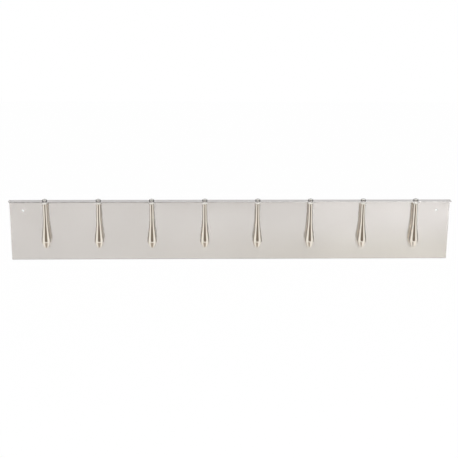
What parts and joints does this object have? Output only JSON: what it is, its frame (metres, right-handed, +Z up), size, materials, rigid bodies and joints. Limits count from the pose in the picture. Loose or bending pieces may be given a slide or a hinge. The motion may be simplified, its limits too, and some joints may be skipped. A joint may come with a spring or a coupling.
{
  "type": "wall hook rack",
  "caption": "Wide flat steel wall rack with a forward-folded top flange and a row of turned drop-shaped hooks clamped under it by domed screws.",
  "frame": {"origin": "midway between the two wall screw holes, on the wall plane (the panel's rear face)", "axes": "+X along the rack, to the right seen from the front; +Y out of the rear face into the wall; +Z up"},
  "size_m": [0.836, 0.0214, 0.1221],
  "materials": {
    "satin_steel": "stainless sheet brushed along its length, with soft mirror reflections",
    "polished_nickel": "turned and polished, warm nickel tone, sharp light and dark bands",
    "screw_steel": "bright domed screw head with a slightly worn socket; the shank is hidden when assembled"
  },
  "bodies": {
    "root": {"back_panel": "satin_steel", "hook_body_1": "polished_nickel", "hook_collar_1": "polished_nickel", "hook_screw_1": "screw_steel", "hook_body_2": "polished_nickel", "hook_collar_2": "polished_nickel", "hook_screw_2": "screw_steel", "hook_body_3": "polished_nickel", "hook_collar_3": "polished_nickel", "hook_screw_3": "screw_steel", "hook_body_4": "polished_nickel", "hook_collar_4": "polished_nickel", "hook_screw_4": "screw_steel", "hook_body_5": "polished_nickel", "hook_collar_5": "polished_nickel", "hook_screw_5": "screw_steel", "hook_body_6": "polished_nickel", "hook_collar_6": "polished_nickel", "hook_screw_6": "screw_steel", "hook_body_7": "polished_nickel", "hook_collar_7": "polished_nickel", "hook_screw_7": "screw_steel", "hook_body_8": "polished_nickel", "hook_collar_8": "polished_nickel", "hook_screw_8": "screw_steel"}
  },
  "joints": []
}
